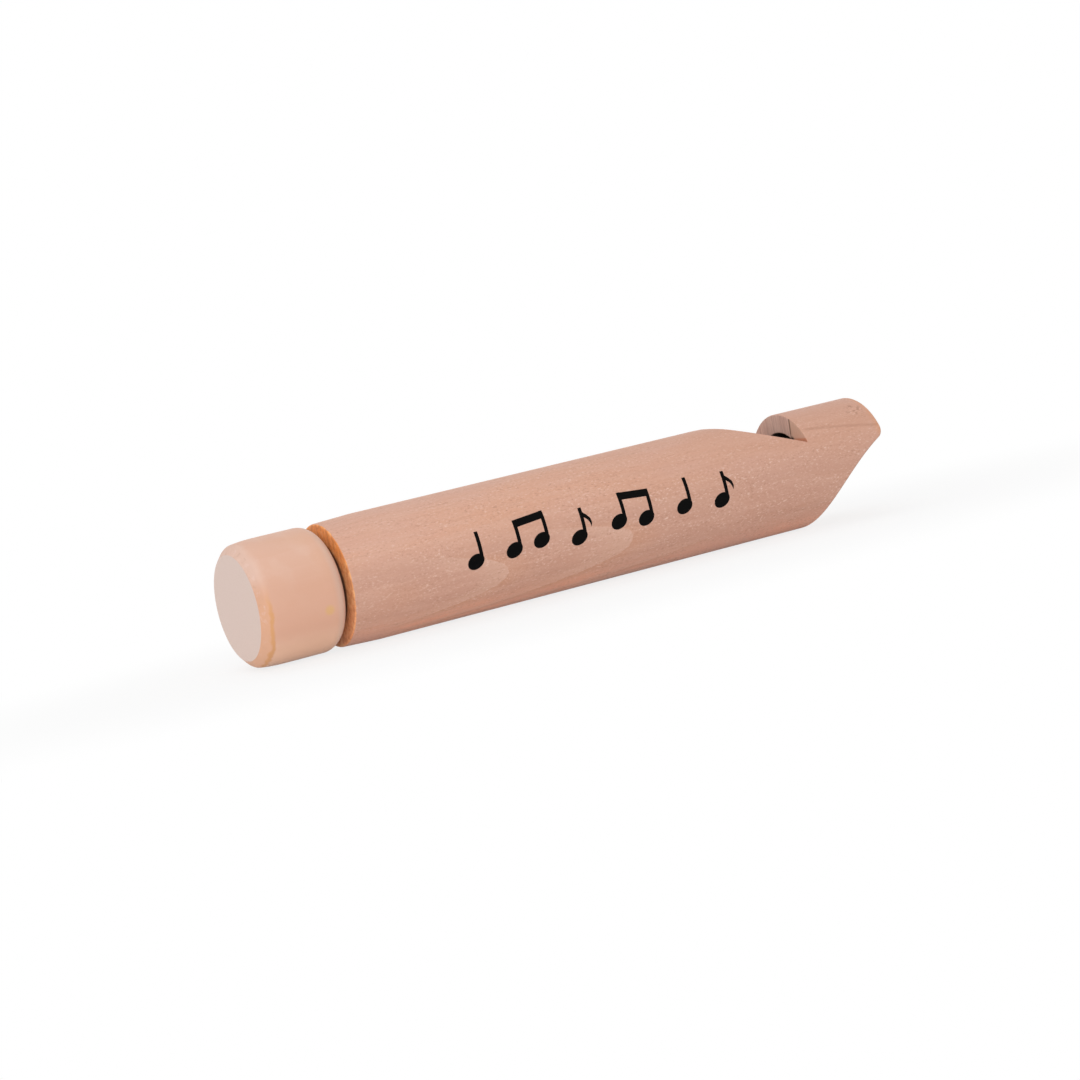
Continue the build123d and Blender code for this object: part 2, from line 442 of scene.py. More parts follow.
tube_fleck = flecks(tube_wood)
fleck_cloud = tube_wood.noise((0.15, 0.45, 0.45))
towards_mouth = tube_wood.rise(tube_wood.x, -5.0, 20.0)
upper_side = tube_wood.rise(tube_wood.z, 11.0, 16.0)
fleck_share = tube_wood.every(
    tube_wood.rise(fleck_cloud, 0.36, 0.62, least=0.45),
    tube_wood.rise(tube_wood.x, -45.0, 25.0, least=0.65),
    tube_wood.rise(tube_wood.every(towards_mouth, upper_side), 0.0, 1.0, least=1.0, most=0.55),
)
pale_share = tube_wood.every(fleck_share, tube_wood.rise(tube_fleck, 0.56, 0.70, most=0.70))
dark_share = tube_wood.every(fleck_share, tube_wood.rise(tube_fleck, 0.44, 0.30, most=0.70))
tube_grit = tube_wood.noise((3.0, 5.0, 5.0))
tube_wood.tint(pale_share, pale_fleck)
tube_wood.tint(dark_share, dark_fleck)
tube_wood.tint(tube_wood.rise(tube_grit, 0.55, 0.75, most=0.25), dusty_pore)
print("tube has", len(tube_wood.tree.nodes), "nodes with its flecks")

# %% [markdown]
# ## The line along the mouthpiece
#
# One strong growth line runs along the near side of the mouthpiece. A thin strip of mesh would stand proud,
# so the line is where the wood meets a sloping plane. The plane is waved by the slow patches and the tint is
# broken up by the fibres, so that it looks grown and not ruled.

# %% Mouthpiece line
line_slope = 0.134
line_wave = 0.8
line_level = 22.83
growth_line = (0.470, 0.240, 0.160)

sloping = tube_wood.math("MULTIPLY_ADD", tube_wood.x, line_slope, tube_wood.z)
waving = tube_wood.math("MULTIPLY_ADD", tube_patch, line_wave, sloping)
off_line = tube_wood.math("ABSOLUTE", tube_wood.math("SUBTRACT", waving, line_level))
line_share = tube_wood.every(
    tube_wood.rise(off_line, 0.34, 0.05, most=0.6),
    tube_wood.rise(tube_fibre, 0.30, 0.62, least=0.45),
    tube_wood.rise(tube_wood.x, wall_x - 0.15, wall_x + 1.85),
    tube_wood.rise(tube_wood.y, -4.0, -5.0),
)
tube_wood.tint(line_share, growth_line)
print(f"line falls {line_slope * (mouth_end - wall_x):.1f} mm on its way to the tip")

# %% [markdown]
# ## Wear on the mouthpiece
#
# Lips and teeth have marked the end: a small patch of bruised pores on top, and a warmer rim round the tip.
# Each mark is found by its place on the tube, with noise to roughen its edge, so no face has to be picked
# by hand.

# %% Mouthpiece wear
bruise_at = (55.0, -5.5, 18.0)
bruise_reach = 2.2
bruised_pore = (0.400, 0.200, 0.130)
rim_wander = 1.2
worn_rim = (0.690, 0.320, 0.160)

bruise_grain = tube_wood.rise(tube_wood.noise((1.5, 1.4, 1.4)), 0.52, 0.60, most=0.7)
tube_wood.tint(tube_wood.every(tube_wood.near(bruise_at, bruise_reach), bruise_grain), bruised_pore)
rim_place = tube_wood.math("MULTIPLY_ADD", tube_patch, rim_wander, tube_wood.x)
rim_share = tube_wood.every(
    tube_wood.rise(rim_place, mouth_end - 0.92, mouth_end + 0.58, most=0.5),
    tube_wood.rise(tube_wood.radius(), 7.6, 9.2),
)
tube_wood.tint(rim_share, worn_rim)
print(f"bruise {mouth_end - bruise_at[0]:.1f} mm from the tip")

# %% [markdown]
# ## End grain at the knob
#
# The tube's end shows as a thin orange crescent behind the knob. It is raw end grain, which drinks more oil
# than the side: mottled by its pores, and deepest at the top. It is painted brighter towards the bore, as
# painted light where the knob shades the gap, and a dark ring round the bush is painted shade, which gives
# the dark line in the gap. A ring of mesh could carry all this, but tints by place are simpler.

# %% End grain
oiled_rim = (0.790, 0.350, 0.150)
inner_end_painted_light = (0.930, 0.435, 0.175)
deep_top = (0.950, 0.335, 0.065)
paler_foot = (0.900, 0.375, 0.180)
dark_pore = (0.620, 0.230, 0.090)
pale_pore = (0.960, 0.550, 0.260)
gap_painted_shade = (0.100, 0.040, 0.018)

end_pores = tube_wood.noise((0.4, 1.1, 0.9), detail=4.0, roughness=0.65)
end_grain = tube_wood.coats(
    oiled_rim,
    # painted light: brighter towards the bore, where the knob shades the gap
    (tube_wood.rise(tube_wood.radius(), 9.6, 7.4), inner_end_painted_light),
    (tube_wood.rise(tube_wood.z, 10.0, 16.0, most=0.80), deep_top),
    (tube_wood.rise(tube_wood.z, 9.0, 4.0, most=0.60), paler_foot),
    (tube_wood.rise(end_pores, 0.50, 0.56, most=0.55), dark_pore),
    (tube_wood.rise(end_pores, 0.46, 0.40, most=0.50), pale_pore),
    # painted shade: a dark ring round the bush for the dark line in the gap
    (tube_wood.rise(tube_wood.radius(), bore_r + 0.98, bore_r + 0.23), gap_painted_shade),
)
print("tube has", len(tube_wood.tree.nodes), "nodes with its end grain")

# %% [markdown]
# ## The edge of the end grain
#
# The orange stops on the rounded rim of the tube. A face's direction tells where: at the end it points back
# along the bore. Cutting the mesh there would give a clean edge, but oil creeps along the pores, so the
# pores shift the limit a little and leave it ragged.

# %% End grain edge
rim_shift = 0.35
pore_shift = 0.7

turned_back = tube_wood.math("SUBTRACT", tube_wood.faces_x, rim_shift)
ragged_rim = tube_wood.math("MULTIPLY_ADD", end_pores, pore_shift, turned_back)
end_share = tube_wood.every(
    tube_wood.rise(ragged_rim, -0.55, -0.75),
    tube_wood.rise(tube_wood.x, knob_end + 4.6, knob_end + 2.6),
)
tube_wood.tint(end_share, end_grain)
print(f"end grain at {knob_end:.1f} mm")

# %% [markdown]
# ## The window's wall
#
# The upright wall of the window is end grain too, but a saw has left it grey, with fine upright lines. One
# crack runs down it, a little off upright, and the wood beyond the crack is warmer. At its foot the saw has
# burnt a red line beside the black slot, and black is painted into the slot's corner as shade. All of these
# are measured across the wall, so they keep to it.

# %% Window wall
crack_slope = 0.08
crack_place = -2.45
corner_at = (wall_x, -3.95, floor_z - 0.1)
corner_reach = 0.9

saw_lines = tube_wood.noise((0.2, 4.2, 0.25), detail=3.0, roughness=0.7)
crack_run = tube_wood.math("MULTIPLY_ADD", tube_wood.z, crack_slope, tube_wood.y)
beyond_crack = tube_wood.rise(crack_run, crack_place + 0.05, crack_place - 0.15, most=0.7)
off_crack = tube_wood.math("ABSOLUTE", tube_wood.math("SUBTRACT", crack_run, crack_place))
crack = tube_wood.every(
    tube_wood.rise(off_crack, 0.24, 0.08, most=0.85),
    tube_wood.rise(tube_wood.z, floor_z + 0.1, floor_z + 1.1),
)
kerf = tube_wood.every(
    tube_wood.rise(tube_wood.y, -4.2, -4.6),
    tube_wood.rise(tube_wood.z, floor_z + 0.4, floor_z, most=0.8),
)
# painted shade: black in the slot's corner
slot_corner_shade = tube_wood.near(corner_at, corner_reach)
print(f"wall at {wall_x:.2f} mm, slot {floor_z:.1f} mm up")

# %% [markdown]
# ## The wall's colours
#
# The marks of the last step now get their colours, in the order in which they lie over each other. They
# could be a material of their own, but then faces would have to be picked. Instead they go wherever a face
# points back along the bore at the window.

# %% Wall colours
sawn_dark = (0.520, 0.320, 0.260)
sawn_pale = (0.680, 0.455, 0.375)
warmer_side = (0.620, 0.390, 0.275)
crack_shade = (0.150, 0.080, 0.055)
burnt_red = (0.500, 0.190, 0.100)
slot_painted_shade = (0.030, 0.018, 0.012)

sawn_wall = tube_wood.coats(
    sawn_dark,
    (tube_wood.rise(saw_lines, 0.35, 0.65), sawn_pale),
    (beyond_crack, warmer_side),
    (crack, crack_shade),
    (kerf, burnt_red),
    # painted shade in the slot's corner
    (slot_corner_shade, slot_painted_shade),
)
wall_share = tube_wood.every(
    tube_wood.rise(tube_wood.faces_x, -0.70, -0.92),
    tube_wood.rise(tube_wood.x, wall_x - 3.15, wall_x - 2.15),
)
tube_wood.tint(wall_share, sawn_wall)
print("tube has", len(tube_wood.tree.nodes), "nodes with its wall")

# %% [markdown]
# ## The ramp and the bore
#
# The ramp up to the window is crossed by the marks of the cutter. The bore is painted dark brown as shade
# inside it, and nearly black as painted shade in the narrow windway. As no face is picked by hand, the ramp
# is known by its slant and the bore by its radius.

# %% Ramp and bore
fresh_cut = (0.690, 0.400, 0.280)
cutter_mark = (0.580, 0.325, 0.225)
bore_painted_shade = (0.250, 0.135, 0.080)
windway_painted_shade = (0.020, 0.012, 0.008)

cutter_lines = tube_wood.noise((3.0, 0.3, 3.0))
ramp_share = tube_wood.every(
    tube_wood.rise(tube_wood.faces_x, 0.20, 0.32),
    tube_wood.rise(tube_wood.faces_z, 0.70, 0.85),
    tube_wood.rise(tube_wood.x, wall_x + 0.45, wall_x + 0.05),
)
tube_wood.tint(ramp_share, tube_wood.coats(fresh_cut, (cutter_lines, cutter_mark)))
# painted shade: dark brown inside the bore, nearly black in the windway
in_windway = tube_wood.rise(tube_wood.x, wall_x - 0.25, wall_x + 0.25)
in_bore = tube_wood.rise(tube_wood.radius(), bore_r + 0.18, bore_r + 0.05)
tube_wood.tint(in_bore, tube_wood.coats(bore_painted_shade, (in_windway, windway_painted_shade)))
print(f"bore dark inside {bore_r:.2f} mm")

# %% [markdown]
# ## The tube's surface
#
# Bare sanded wood is dull, with a trace of fuzz. A low specular level and a little sheen give that. The
# flecks and fibres stand a few hundredths of a millimetre high, which would take millions of faces, so they
# are a bump on the shader. The finish then goes on the tube.

# %% Tube surface
bare_wood = {"Specular IOR Level": 0.3, "Sheen Weight": 0.04, "Sheen Roughness": 0.5}

tube_wood.complete(sanded_height(tube_wood, tube_fleck, tube_fibre, fleck_part=0.6), depth=0.035)
tube_wood.uniform(bare_wood)
tube_wood.dress("body_tube")

# %% [markdown]
# ## The knob's ground colour
#
# The knob is turned from a paler, smoother piece. It could share the tube's finish, but the photograph shows
# hardly any flecks on it and softer, cloudier patches, so it gets its own rings and colours.

# %% Knob ground
knob_soft = (0.738, 0.446, 0.332)
knob_hard = (0.728, 0.436, 0.320)
pale_cloud = (0.760, 0.490, 0.380)
warm_patch = (0.715, 0.405, 0.270)
knob_line = (0.640, 0.365, 0.250)
knob_speck = (0.790, 0.540, 0.420)

knob_wood = Finish("knob_wood", roughness=0.55, ground=knob_soft)
knob_wood.tint(growth_rings(knob_wood, pith=(-14.0, 38.0), lean=0.03, width=1.7, start=0.4), knob_hard)
knob_cloud = knob_wood.noise((0.30, 0.30, 0.30), detail=3.0)
knob_patch = knob_wood.noise((0.10, 0.16, 0.16))
knob_fibre = fibres(knob_wood)
knob_fleck = flecks(knob_wood)
knob_wood.tint(knob_wood.rise(knob_cloud, 0.45, 0.68, most=0.5), pale_cloud)
knob_wood.tint(knob_wood.rise(knob_patch, 0.42, 0.70, most=0.5), warm_patch)
knob_wood.tint(knob_wood.rise(knob_fibre, 0.52, 0.80, most=0.05), knob_line)
knob_wood.tint(knob_wood.rise(knob_fleck, 0.60, 0.74, most=0.20), knob_speck)
print("knob has", len(knob_wood.tree.nodes), "nodes with its ground")

# %% [markdown]
# ## The knob's sides
#
# The sides of the knob get a darker painted shade and its underside a brighter painted light from below, as
# on the tube. Noise would put them anywhere, so they are two broad tints by height.

# %% Knob sides
knob_side_shade = (0.680, 0.375, 0.260)
knob_lit_below = (0.860, 0.560, 0.400)
knob_shade_most = 0.70

below_crown = knob_wood.rise(knob_wood.z, 16.5, 11.0)
above_table = knob_wood.rise(knob_wood.z, 2.0, 6.0)
# painted shade on the knob's sides
knob_wood.tint(knob_wood.every(below_crown, above_table, knob_shade_most), knob_side_shade)
# painted light from below on the knob's underside
knob_wood.tint(knob_wood.rise(knob_wood.z, 6.0, 1.5, most=0.85), knob_lit_below)
print("knob has", len(knob_wood.tree.nodes), "nodes with its sides")

# %% [markdown]
# ## The oiled band
#
# The sloping band round the knob's front took up oil from the turner's cloth. It is warmer there, ends in an
# uneven darker line, and stayed dry along the top. The distance from the front, roughened by noise, gives
# the edge. A ring cut in the mesh would be too even.

# %% Oiled band
oil_reach = 2.1
edge_wander = 1.6
dry_most = 0.60
oiled_wood = (0.745, 0.405, 0.250)
dry_wood = (0.765, 0.540, 0.450)
oil_rim = (0.690, 0.345, 0.140)

from_front = knob_wood.math("SUBTRACT", knob_wood.x, knob_front)
edge_noise = knob_wood.noise((0.5, 0.5, 0.5), detail=3.0)
ragged = knob_wood.math("MULTIPLY_ADD", edge_noise, edge_wander, -edge_wander / 2)
oil_edge = knob_wood.math("ADD", from_front, ragged)
oiled_low = knob_wood.rise(knob_wood.z, 15.5, 9.0, least=0.10)
dry_high = knob_wood.rise(knob_wood.z, 11.5, 16.0)
oil_line = knob_wood.every(
    knob_wood.rise(oil_edge, 0.9, 1.3),
    knob_wood.rise(oil_edge, 2.0, 1.5),
    knob_wood.rise(knob_wood.z, 13.0, 8.5, most=0.80),
)
knob_wood.tint(knob_wood.every(knob_wood.rise(oil_edge, oil_reach, 1.2, most=0.75), oiled_low), oiled_wood)
knob_wood.tint(knob_wood.every(knob_wood.rise(oil_edge, 2.4, 1.0), dry_high, dry_most), dry_wood)
knob_wood.tint(oil_line, oil_rim)
print("oil reaches about", oil_reach, "mm from the front")

# %% [markdown]
# ## The knob's front edge
#
# The edge of the flat front has been knocked: it has small pale chips and darker bruises, most of them on
# the upper half. They are too shallow to show as cuts in the mesh, so they are tints. One noise gives both,
# pale where it is high and dark where it is low.

# %% Knob front edge
pale_chip = (0.830, 0.600, 0.530)
dark_bruise = (0.560, 0.330, 0.220)

chips = knob_wood.noise((0.7, 0.7, 0.7), detail=3.0, roughness=0.6)
at_edge = knob_wood.every(
    knob_wood.rise(knob_wood.faces_x, -0.65, -0.85),
    knob_wood.rise(knob_wood.z, 5.0, 11.0, least=0.25),
)
knob_wood.tint(knob_wood.every(at_edge, knob_wood.rise(chips, 0.52, 0.64, most=0.65)), pale_chip)
knob_wood.tint(knob_wood.every(at_edge, knob_wood.rise(chips, 0.44, 0.34, most=0.60)), dark_bruise)
print("knob has", len(knob_wood.tree.nodes), "nodes with its edge")

# %% [markdown]
# ## The knob's ends
#
# The flat front is sanded end grain, nearly grey, with fine pores, and the chips make its limit uneven. The
# rounded rear edge is greyer too, and the back is dark brown end grain with painted shade that deepens the
# gap behind the knob; it shows when the plunger is drawn out. All three are found by direction and place, so
# the knob stays one piece with one material.

# %% Knob ends
front_pale = (0.800, 0.630, 0.560)
front_pore = (0.750, 0.575, 0.500)
rear_grey = (0.700, 0.510, 0.415)
knob_back_shade = (0.520, 0.270, 0.145)
knob_back_shade_pore = (0.400, 0.195, 0.100)
chip_shift = 0.12

knob_pores = knob_wood.noise((0.4, 3.5, 3.5), detail=3.0)
turned_front = knob_wood.math("SUBTRACT", knob_wood.faces_x, chip_shift / 2)
front_edge = knob_wood.math("MULTIPLY_ADD", chips, chip_shift, turned_front)
flat_front = knob_wood.rise(front_edge, -0.905, -0.965)
knob_wood.tint(flat_front, knob_wood.coats(front_pale, (knob_pores, front_pore)))
knob_wood.tint(knob_wood.rise(knob_wood.x, knob_rear - 2.6, knob_rear - 1.2, most=0.5), rear_grey)
# painted shade: the dark back deepens the gap behind the knob
flat_back = knob_wood.rise(knob_wood.faces_x, 0.80, 0.96)
knob_wood.tint(flat_back, knob_wood.coats(knob_back_shade, (knob_pores, knob_back_shade_pore)))
print(f"knob {knob_rear - knob_front:.1f} mm long")

# %% [markdown]
# ## The knob's surface
#
# One small spot of resin has dried on the side. A drop of mesh would stand too proud, so it is a tint. Then
# the knob gets the same dull surface as the tube, but with less relief, because it was sanded finer.

# %% Knob surface
resin_at = (-46.9, -9.5, 7.4)
resin_reach = 1.1
resin_most = 0.55
resin = (0.720, 0.440, 0.140)

knob_wood.tint(knob_wood.every(knob_wood.near(resin_at, resin_reach), resin_most), resin)
knob_wood.complete(sanded_height(knob_wood, knob_fleck, knob_fibre, fleck_part=0.9), depth=0.020)
knob_wood.uniform(bare_wood)
knob_wood.dress("knob")

# %% [markdown]
# ## Plain woods
#
# The block in the mouthpiece, the bush, the rod and the disc on its end are offcuts and straight dowel. They
# show in the window or when the plunger is drawn out. They could all wear the tube's finish, but its marks
# belong to its own places, so one shorter recipe with two colours serves them. The rod comes first.

# %% Plain woods
dark_part = 0.4


def plain_wood(name, light, dark, pith, start):
    """Sanded wood in two colours, and the height of its surface."""
    wood = Finish(name, roughness=0.6, ground=light)
    fibre = fibres(wood)
    fleck = flecks(wood)
    between = tuple((1 - dark_part) * pale + dark_part * deep for pale, deep in zip(light, dark))
    wood.tint(growth_rings(wood, pith, lean=0.02, width=1.3, start=start), between)
    wood.tint(wood.rise(fibre, 0.48, 0.78, most=0.6), dark)
    wood.tint(wood.rise(fleck, 0.44, 0.30, most=0.5), dark)
    return wood, sanded_height(wood, fleck, fibre, fleck_part=0.5)


inner_depth = 0.030
rod_wood, rod_height = plain_wood(
    "rod_wood", light=(0.790, 0.590, 0.420), dark=(0.610, 0.390, 0.240), pith=(-12.0, 22.0), start=0.7
)
rod_wood.complete(rod_height, inner_depth)
rod_wood.dress("plunger_rod", "backing_disc")

# %% [markdown]
# ## The block and the bush
#
# The block's flat top is the floor of the windway. It is painted nearly black there as shade, and so is the
# upper part of its end in the window, unevenly. The bush was glued in with the tube's end, and its outer
# edge is painted dark, a glue joint and painted shade in the gap. Both are the same wood, so one finish
# finds these places by direction, height and radius.

# %% Block and bush
block_deep_shade = (0.026, 0.016, 0.011)
block_thin_shade = (0.075, 0.046, 0.031)
bush_glue_and_shade = (0.100, 0.045, 0.022)

plug_wood, plug_height = plain_wood(
    "plug_wood", light=(0.720, 0.470, 0.320), dark=(0.520, 0.290, 0.180), pith=(9.0, -15.0), start=0.2
)
block_shade_cloud = plug_wood.noise((0.25, 1.6, 1.6), detail=3.0)
block_painted_shade = plug_wood.coats(block_deep_shade, (plug_wood.rise(block_shade_cloud, 0.40, 0.68), block_thin_shade))
on_block = plug_wood.rise(plug_wood.x, wall_x - 3.15, wall_x - 2.15)
on_top = plug_wood.rise(plug_wood.z, floor_z - 0.3, floor_z - 0.1)
near_top = plug_wood.rise(plug_wood.z, floor_z - 2.6, floor_z - 1.2)
faces_up = plug_wood.rise(plug_wood.faces_z, 0.80, 0.95)
faces_back = plug_wood.rise(plug_wood.faces_x, -0.80, -0.95)
bush_rim = plug_wood.rise(plug_wood.radius(), bore_r - 0.97, bore_r - 0.17)
bush_end = plug_wood.rise(plug_wood.x, knob_end + 1.6, knob_end + 0.2)
# painted shade on the windway's floor and on the block's end in the window
plug_wood.tint(plug_wood.every(faces_up, on_top, on_block), block_painted_shade)
plug_wood.tint(plug_wood.every(faces_back, near_top, on_block), block_painted_shade)
# glue joint and painted shade at the bush's rim in the gap
plug_wood.tint(plug_wood.every(bush_rim, bush_end), bush_glue_and_shade)
plug_wood.complete(plug_height, inner_depth)
plug_wood.dress("fipple_plug", "guide_bush")

# %% [markdown]
# ## Felt
#
# The piston is a thick disc of grey felt that slides in the bore. Felt is a mat of curled fibres. Hair
# strands would be heavy for a piece that is nearly always hidden, so fine swirls of light and dark, a soft
# relief and some sheen for the fuzz stand for them.

# %% Felt
felt_shade = (0.330, 0.315, 0.290)
felt_wool = (0.520, 0.500, 0.465)
felt_strand = (0.640, 0.620, 0.580)

felt = Finish("felt", roughness=0.95, ground=felt_shade)
felt_mat = felt.noise((3.0, 3.0, 3.0), detail=4.0, roughness=0.7)
felt_hair = felt.noise((9.0, 2.0, 9.0), detail=3.0, roughness=0.6)
felt.tint(felt.rise(felt_mat, 0.35, 0.65), felt_wool)
felt.tint(felt.rise(felt_hair, 0.60, 0.75, most=0.5), felt_strand)
felt.complete(felt.math("ADD", felt_mat, felt_hair), depth=0.120)
felt.uniform({"Sheen Weight": 0.35, "Sheen Roughness": 0.6})
felt.dress("piston_felt")

# %% [markdown]
# ## Plated steel
#
# A washer and a small screw hold the felt. They are zinc plated: a dull bright metal with faint cloudy
# patches and fine scratches. On metal, scratches show more by changing how rough it is than by their colour,
# so the same pattern drives the roughness.

# %% Plated steel
zinc_grey = (0.560, 0.560, 0.550)
zinc_bright = (0.690, 0.680, 0.650)

steel = Finish("plated_steel", roughness=0.35, ground=zinc_grey)
steel_cloud = steel.noise((0.7, 0.7, 0.7), detail=3.0)
steel_scratch = steel.noise((8.0, 1.2, 8.0), detail=3.0, roughness=0.7)
steel.tint(steel_cloud, zinc_bright)
steel.complete(steel_scratch, depth=0.006)
scratch_rough = steel.rise(steel_scratch, 0.30, 0.70, least=0.28, most=0.48)
steel.feed(steel.shader.inputs["Roughness"], scratch_rough)
steel.uniform({"Metallic": 1.0})
steel.dress("front_washer", "piston_screw")

# %% [markdown]
# ## The print: heads and stems
#
# A plain row of black notes is printed along the tube, with heads, stems, beams and flags. Ink is a film
# with real edges, so the notes are geometry and not a painted pattern. They are drawn flat first, in
# millimetres along and round the tube. A head is a tilted oval, and a stem is a bar on its right.

# %% Heads and stems
head_long = 1.55
head_short = 1.12
head_tilt = radians(24)
stem_wide = 0.62
stem_high = 4.6
stem_side = head_long * cos(head_tilt)


def note_head(s, t, steps=28):
    """A tilted oval round a point."""
    turns = [2 * pi * step / steps for step in range(steps)]
    oval = [(head_long * cos(a), head_short * sin(a)) for a in turns]
    tilt_c = cos(head_tilt)
    tilt_s = sin(head_tilt)
    return [(s + a * tilt_c - b * tilt_s, t + a * tilt_s + b * tilt_c) for a, b in oval]


def note_stem(s, t):
    """An upright bar on the right of a head."""
    left = s + stem_side - stem_wide
    top = t + stem_high
    return [(left, t), (left + stem_wide, t), (left + stem_wide, top), (left, top)]


print("note", 2 * head_long, "mm wide and about", stem_high + head_short, "mm tall")

# %% [markdown]
# ## The print: flags and beams
#
# A flag is a curled tail that hangs from the top of a stem. It could be a curve, but a few points down its
# outer edge and back up its inner one are enough at this size. A beam is a thick bar that joins two stems
# and slopes with them.

# %% Flags and beams
beam_deep = 1.25
flag_outer = [(0.0, 0.0), (0.25, -0.75), (0.85, -1.30), (1.40, -1.95), (1.55, -2.70), (1.35, -3.35)]
flag_inner = [(1.18, -2.65), (0.90, -2.15), (0.45, -1.75), (0.0, -1.45)]


def note_flag(s, t):
    """A curled tail on the right of a stem."""
    edge = s + stem_side - stem_wide / 2
    top = t + stem_high
    return [(edge + a, top + b) for a, b in reversed(flag_outer + flag_inner)]


def note_beam(first, second):
    """A thick sloping bar between the tops of two stems."""
    left = first[0] + stem_side - stem_wide
    left_top = first[1] + stem_high
    far = second[0] + stem_side
    far_top = second[1] + stem_high
    return [(left, left_top - beam_deep), (far, far_top - beam_deep), (far, far_top), (left, left_top)]


print("flag of", len(flag_outer + flag_inner), "points, beam", beam_deep, "mm deep")

# %% [markdown]
# ## The row of notes
#
# The row has single notes, flagged notes and joined pairs. A loop could space them evenly, but a stamped
# row is livelier, so each is placed by the middle of its head and stands a little high or low.

# %% Note row
single_notes = [(-21.5, -2.3), (16.9, -1.9)]
flagged_notes = [(-2.9, -2.6), (24.0, -2.4)]
beamed_pairs = [((-14.6, -2.0), (-9.6, -1.5)), ((4.6, -1.7), (9.6, -2.2))]

shapes = []
for s, t in single_notes:
    shapes += [note_head(s, t), note_stem(s, t)]
for s, t in flagged_notes:
    shapes += [note_head(s, t), note_stem(s, t), note_flag(s, t)]
for first, second in beamed_pairs:
    shapes += [note_head(*first), note_stem(*first), note_head(*second), note_stem(*second)]
    shapes.append(note_beam(first, second))
print(len(shapes), "shapes in the row")

# %% [markdown]
# ## One flat sheet
#
# Heads, stems and beams overlap, and overlapping films would flicker. A triangulation that keeps only what
# lies inside an outline melts them into one sheet. A flat sheet can't bend between its corners, so it is
# then cut into narrow strips along the tube.

# %% Flat sheet
inside_only = 1
joined_within = 1e-5
strip = 0.4
strips_each_way = 12

corners = []
outlines = []
for shape in shapes:
    outlines.append(list(range(len(corners), len(corners) + len(shape))))
    corners += [Vector(corner) for corner in shape]
flat_points, _, flat_faces, _, _, _ = delaunay_2d_cdt(corners, [], outlines, inside_only, joined_within)
sheet = bmesh.new()
sheet_points = [sheet.verts.new((point.x, point.y, 0)) for point in flat_points]
for face in flat_faces:
    sheet.faces.new([sheet_points[corner] for corner in face])
for row in range(-strips_each_way, strips_each_way + 1):
    everything = sheet.verts[:] + sheet.edges[:] + sheet.faces[:]
    bmesh.ops.bisect_plane(sheet, geom=everything, plane_co=(0, row * strip, 0), plane_no=(0, 1, 0))
print(len(sheet.faces), "flat faces")

# %% [markdown]
# ## The rolled print
#
# The sheet is given a thickness and rolled round the tube's near side, so that a millimetre across it is
# a millimetre round the wood. Its top stands a hair proud, thin enough to look printed, and its bottom lies
# just under the surface, so no gap ever shows. A shrinkwrap would do too, but it can pull thin shapes askew.

# %% Rolled print
print_angle = radians(8.0)
ink_proud = 0.015
ink_sunk = 0.010


def rolled(s, t, lift):
    """A flat point on the tube's near side, that far outside its surface, in metres."""
    reach = tube_r + lift
    angle = print_angle + t / tube_r
    return Vector((s, -reach * cos(angle), axis_z + reach * sin(angle))) * mm


skin = bmesh.ops.extrude_face_region(sheet, geom=sheet.faces[:])
top_points = {item for item in skin["geom"] if isinstance(item, bmesh.types.BMVert)}
for point in sheet.verts:
    lift = ink_proud if point in top_points else -ink_sunk
    point.co = rolled(point.co.x, point.co.y, lift)
bmesh.ops.recalc_face_normals(sheet, faces=sheet.faces[:])
print_mesh = bpy.data.meshes.new("printed_notes")
sheet.to_mesh(print_mesh)
sheet.free()
printed_notes = bpy.data.objects.new("printed_notes", print_mesh)
scene.collection.objects.link(printed_notes)
print(len(print_mesh.polygons), "faces in the print")

# %% [markdown]
# ## Ink
#
# Stamped ink soaks in and dries dull, with a trace of the wood's flecks in it. Plain black would look cut
# out, so it is nearly black with a fine grain, and hardly reflects. The print rides on the tube, so it stays
# put when the plunger moves.

# %% Ink
ink_black = (0.002, 0.002, 0.002)
ink_worn = (0.007, 0.006, 0.005)

ink = Finish("print_ink", roughness=0.70, ground=ink_black)
ink_grain = flecks(ink)
ink.tint(ink.rise(ink_grain, 0.55, 0.80), ink_worn)
ink.complete(ink_grain, depth=0.010)
ink.uniform({"Specular IOR Level": 0.05})
print_mesh.materials.append(ink.material)
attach(printed_notes, "tube")
print(ink.material.name, "on", printed_notes.name)

# %% [markdown]
# ## What the camera sees
#
# The photograph has a pure white ground. More light would make one, but would also bleach the wood. So the
# room and the table are white only to rays that come from the camera, straight or by way of gloss and glass,
# and rays that carry light to the wood see a dimmer room. The Standard transform shows colours as they are
# written, and a strength of 1 as white.

# %% Camera rays
scene.view_settings.view_transform = "Standard"


def seen_directly(steps):
    """1 for what the camera sees, straight or through gloss and glass, and 0 for light on its way."""
    path = steps.node("LightPath").outputs
    straight_or_gloss = steps.math("MAXIMUM", path["Is Camera Ray"], path["Is Glossy Ray"])
    return steps.math("MAXIMUM", straight_or_gloss, path["Is Transmission Ray"])


def mix_shaders(steps, share, first, second):
    """The first shader going over into the second."""
    made = steps.node("MixShader", Fac=share)
    steps.feed(made.inputs[1], first.outputs[0])
    steps.feed(made.inputs[2], second.outputs[0])
    return made.outputs[0]


print("colours are shown by the", scene.view_settings.view_transform, "transform")

# %% [markdown]
# ## The room
#
# The room is an even white all round, which lights the wood softly from every side, as a light tent does.
# A picture of a studio could light it too, but then its lamps would show in every gloss. At full strength
# the room would leave no shading, so it is turned down to a little over half.

# %% Room
room_light = 0.60
plain_white = (1, 1, 1)

